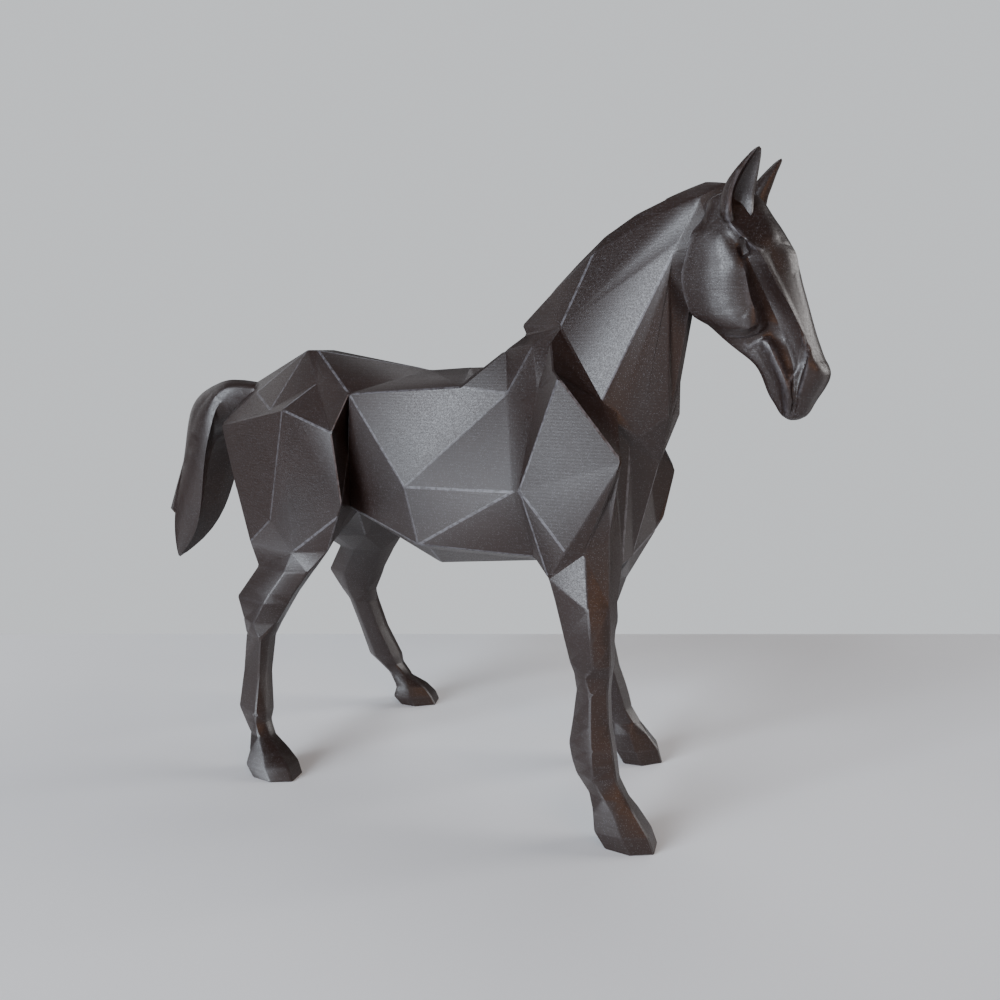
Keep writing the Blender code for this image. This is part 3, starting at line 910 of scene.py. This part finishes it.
@dataclass(frozen=True)
class Studio:
    """The plain floor, the soft light and the camera at the photograph's viewing angle."""

    eye: tuple[float, float, float] = (1.282, 1.845, 0.961)
    azimuth: float = math.radians(31.5)
    pitch: float = math.radians(8.6)
    lens: float = 36.0
    sensor: float = 36.0
    nearest_seen: float = 0.01
    floor_behind: float = 3.3
    floor_reach: float = 3.0
    floor_patches: float = 8.0
    floor_roughness: tuple[float, float] = (0.42, 0.52)
    floor_colour: tuple[float, float, float, float] = (0.90, 0.91, 0.93, 1.0)
    backdrop_colour: tuple[float, float, float, float] = (0.83, 0.86, 0.89, 1.0)
    backdrop_strength: float = 0.90
    ambient_colour: tuple[float, float, float, float] = (0.96, 0.98, 1.0, 1.0)
    ambient_strength: float = 0.045
    aim: tuple[float, float, float] = (0.1, 0.0, 0.75)
    lights: tuple[StudioLight, ...] = (
        StudioLight("window", (-0.27, -0.91, 0.31), 4.0, 2.0, 225.0, (0.84, 0.91, 1.0)),
        StudioLight("window_low", (-0.52, -0.85, 0.07), 4.0, 1.2, 34.0, (0.84, 0.91, 1.0)),
        StudioLight("front_fill", (0.30, -0.90, 0.30), 4.0, 1.8, 12.0, (1.0, 0.94, 0.92)),
        StudioLight("far_fill", (0.75, 0.60, 0.30), 4.0, 2.1, 105.0, (1.0, 0.98, 0.97)),
        StudioLight("nose_fill", (0.80, -0.55, 0.30), 4.0, 2.1, 34.0, (1.0, 0.56, 0.34)),
        StudioLight("top_rim", (-0.25, 0.49, 0.83), 4.0, 2.4, 36.0, (0.94, 0.96, 1.0)),
        StudioLight("rear_fill", (-0.95, 0.20, 0.25), 4.0, 2.4, 19.0, (0.95, 0.97, 1.0)),
    )

    def camera(self) -> None:
        """Sets up the camera."""
        lens = bpy.data.cameras.new("photo_view")
        lens.lens = self.lens
        lens.sensor_width = self.sensor
        lens.clip_start = self.nearest_seen
        made = bpy.data.objects.new("photo_view", lens)
        made.location = place(*self.eye)
        made.rotation_euler = (math.pi / 2 - self.pitch, 0.0, self.azimuth)
        bpy.context.scene.collection.objects.link(made)
        bpy.context.scene.camera = made

    def floor_material(self) -> bpy.types.Material:
        """Makes the pale satin of the floor.

        Returns:
            The new material.
        """
        made = bpy.data.materials.new("pale_floor")
        made.use_nodes = True
        bench = NodeBench(made.node_tree)
        shader = made.node_tree.nodes["Principled BSDF"]
        shader.inputs["Base Color"].default_value = self.floor_colour
        spot = bench.add("TexCoord").outputs["Object"]
        patches = bench.noise(spot, self.floor_patches, 2.0)
        rough = bench.between(patches, NOISE_LOW, NOISE_HIGH, *self.floor_roughness)
        bench.feed(rough, shader.inputs["Roughness"])
        return made

    def floor(self) -> None:
        """Lays the floor, which ends a little way behind the horse."""
        shape = bmesh.new()
        view = Vector((-math.sin(self.azimuth), math.cos(self.azimuth), 0.0))
        across = Vector((math.cos(self.azimuth), math.sin(self.azimuth), 0.0))
        eye = place(*self.eye)
        eye.z = 0.0
        back = eye + view * (self.floor_behind * WITHERS)
        front = eye - view * self.floor_reach
        corners = [front - across * self.floor_reach, front + across * self.floor_reach,
                   back + across * self.floor_reach, back - across * self.floor_reach]
        shape.faces.new([shape.verts.new(corner) for corner in corners])
        mesh = bpy.data.meshes.new("floor")
        shape.to_mesh(mesh)
        shape.free()
        mesh.materials.append(self.floor_material())
        made = bpy.data.objects.new("floor", mesh)
        bpy.context.scene.collection.objects.link(made)

    def world(self) -> None:
        """Sets the plain backdrop that the camera sees and the dim light from all round."""
        world = bpy.data.worlds.new("studio")
        world.use_nodes = True
        bench = NodeBench(world.node_tree)
        ambient = world.node_tree.nodes["Background"]
        ambient.inputs["Color"].default_value = self.ambient_colour
        ambient.inputs["Strength"].default_value = self.ambient_strength
        backdrop = bench.add("Background")
        backdrop.inputs["Color"].default_value = self.backdrop_colour
        backdrop.inputs["Strength"].default_value = self.backdrop_strength
        chosen = bench.add("MixShader")
        bench.feed(bench.add("LightPath").outputs["Is Camera Ray"], chosen.inputs[0])
        bench.feed(ambient.outputs[0], chosen.inputs[1])
        bench.feed(backdrop.outputs[0], chosen.inputs[2])
        bench.feed(chosen.outputs[0], world.node_tree.nodes["World Output"].inputs["Surface"])
        bpy.context.scene.world = world

    def build(self) -> None:
        """Builds the whole studio."""
        self.camera()
        self.floor()
        self.world()
        for light in self.lights:
            light.build(place(*self.aim))


# Strokes with a rim value also lay a painted highlight along their line.
HEAD_STROKES = (
    Stroke(
        "brow_ridge",
        (
            (0.690, 0.080, 1.268), (0.678, 0.078, 1.236), (0.672, 0.079, 1.210),
            (0.669, 0.074, 1.194), (0.674, 0.070, 1.179), (0.690, 0.073, 1.167),
            (0.708, 0.075, 1.148), (0.718, 0.073, 1.138), (0.730, 0.065, 1.133),
        ),
        width=0.0060, lift=0.0008, rim=0.60,
    ),
    Stroke(
        "eye",
        ((0.698, 0.076, 1.148), (0.699, 0.072, 1.138), (0.702, 0.069, 1.129)),
        width=0.012, lift=-0.0105,
    ),
    Stroke(
        "cheek_front_edge",
        (
            (0.707, 0.072, 1.113), (0.706, 0.074, 1.091), (0.714, 0.072, 1.048),
            (0.723, 0.066, 1.020), (0.730, 0.052, 0.998),
        ),
        width=0.009, lift=0.0005, rim=0.35,
    ),
    Stroke(
        "cheek_rim",
        (
            (0.668, 0.054, 0.986), (0.685, 0.054, 0.984), (0.702, 0.050, 0.984),
            (0.725, 0.049, 0.991), (0.731, 0.056, 1.001),
        ),
        width=0.006, lift=0.0010, rim=0.28,
    ),
    Stroke(
        "lip_start",
        (
            (0.700, 0.042, 0.970), (0.707, 0.040, 0.962), (0.720, 0.042, 0.971),
            (0.735, 0.042, 0.975),
        ),
        width=0.006, lift=0.0010, rim=0.30,
    ),
    Stroke(
        "lip",
        (
            (0.739, 0.043, 0.971), (0.751, 0.046, 0.955), (0.761, 0.045, 0.934),
            (0.770, 0.044, 0.913), (0.778, 0.043, 0.892), (0.776, 0.034, 0.870),
            (0.776, 0.021, 0.844),
        ),
        width=0.014, lift=0.0025, rim=0.34,
    ),
    Stroke(
        "muzzle_hollow",
        (
            (0.743, 0.037, 0.994), (0.759, 0.032, 0.977), (0.773, 0.033, 0.955),
            (0.783, 0.034, 0.931),
        ),
        width=0.018, lift=-0.0030,
    ),
    Stroke(
        "nostril",
        (
            (0.810, 0.043, 0.959), (0.805, 0.038, 0.938), (0.799, 0.039, 0.913),
            (0.795, 0.040, 0.892), (0.795, 0.037, 0.877),
        ),
        width=0.012, lift=-0.0060,
    ),
    Stroke(
        "nostril_front_rim",
        (
            (0.804, 0.042, 0.980), (0.815, 0.043, 0.948), (0.814, 0.045, 0.927),
            (0.809, 0.043, 0.908), (0.801, 0.040, 0.885), (0.798, 0.036, 0.876),
        ),
        width=0.005, lift=0.0008, rim=0.50,
    ),
    Stroke(
        "nostril_rear_rim",
        (
            (0.806, 0.040, 0.954), (0.799, 0.036, 0.931), (0.788, 0.036, 0.913),
            (0.782, 0.041, 0.904),
        ),
        width=0.005, lift=0.0008, rim=0.50,
    ),
    Stroke(
        "jaw_rim",
        (
            (0.620, 0.036, 1.219), (0.597, 0.062, 1.158), (0.583, 0.062, 1.101),
            (0.585, 0.060, 1.068), (0.598, 0.056, 1.032),
        ),
        width=0.006, lift=0.0010, rim=0.35,
    ),
    Stroke(
        "mouth",
        ((0.794, 0.032, 0.867), (0.787, 0.024, 0.852), (0.781, 0.019, 0.840)),
        width=0.008, lift=-0.0040,
    ),
    Stroke(
        "ear_outer_rim",
        (
            (0.680, 0.072, 1.185), (0.678, 0.077, 1.222), (0.686, 0.081, 1.252),
            (0.702, 0.077, 1.282), (0.717, 0.073, 1.304),
        ),
        width=0.0045, lift=0.0, rim=0.40,
    ),
)

FINISHES = {
    Region.FACETS: PrintFinish("faceted_print"),
    Region.SMOOTH: PrintFinish("smooth_print"),
}


def main() -> None:
    """Builds the studio and the horse, and hands the piece to the frame."""
    logging.basicConfig(level=logging.INFO, format="%(name)s: %(message)s")
    Studio().build()
    groups = {
        "grain": build_grain_group(),
        "layers": build_layer_group(),
        "rim": build_painted_highlight_group(),
    }
    finishes = {region: finish.material(groups) for region, finish in FINISHES.items()}
    horse = HorsePrint(strokes=HEAD_STROKES).build(finishes)
    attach(horse, "root")
    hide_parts(NODE)
    log.info("%s: %d faces", horse.name, len(horse.data.polygons))


if __name__ == "__main__":
    main()
